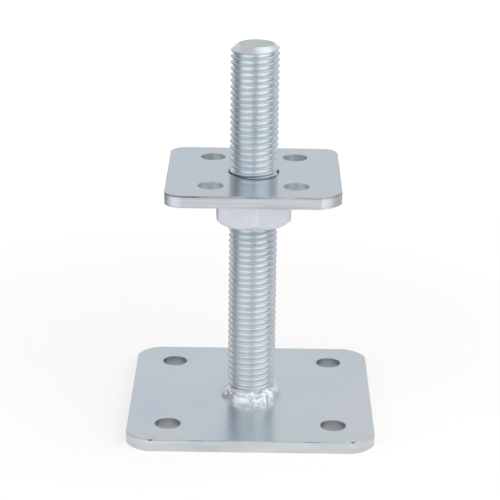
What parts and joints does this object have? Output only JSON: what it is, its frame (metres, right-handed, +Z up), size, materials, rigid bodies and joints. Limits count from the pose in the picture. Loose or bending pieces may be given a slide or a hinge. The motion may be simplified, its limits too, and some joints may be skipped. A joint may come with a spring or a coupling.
{
  "type": "adjustable post base",
  "caption": "Square steel foot plate with a welded upright threaded rod, and a smaller square plate that a hex nut raises and lowers to carry a timber post.",
  "frame": {"origin": "middle of the foot plate's underside, on the rod's axis", "axes": "+Z up the rod, +X to the right seen from the front, -Y towards the front"},
  "size_m": [0.1, 0.1, 0.155],
  "materials": {
    "zinc_plate": "bright zinc plated sheet steel, half glossy, with sheared edges",
    "zinc_thread": "bright zinc plated rolled thread",
    "zinc_nut": "bright zinc plated, satin",
    "zinc_weld": "zinc plated weld metal, glossy and lumpy"
  },
  "bodies": {
    "foot": {"base_plate": "zinc_plate", "weld_bead": "zinc_weld", "threaded_rod": "zinc_thread"},
    "head": {"top_plate": "zinc_plate"},
    "nut": {"hex_nut": "zinc_nut"}
  },
  "joints": [
    {"name": "plate_lift", "type": "slide", "parent": "foot", "child": "head", "axis": [0, 0, 1], "range_m": [-0.07, 0.05]},
    {"name": "nut_turn", "type": "hinge", "parent": "head", "child": "nut", "pos_m": [0, 0, 0.089], "axis": [0, 0, 1], "range_deg": [-10080, 7200]}
  ],
  "couplings": [
    {"joint": "nut_turn", "follows": "plate_lift", "rad_per_m": 2513.3}
  ]
}
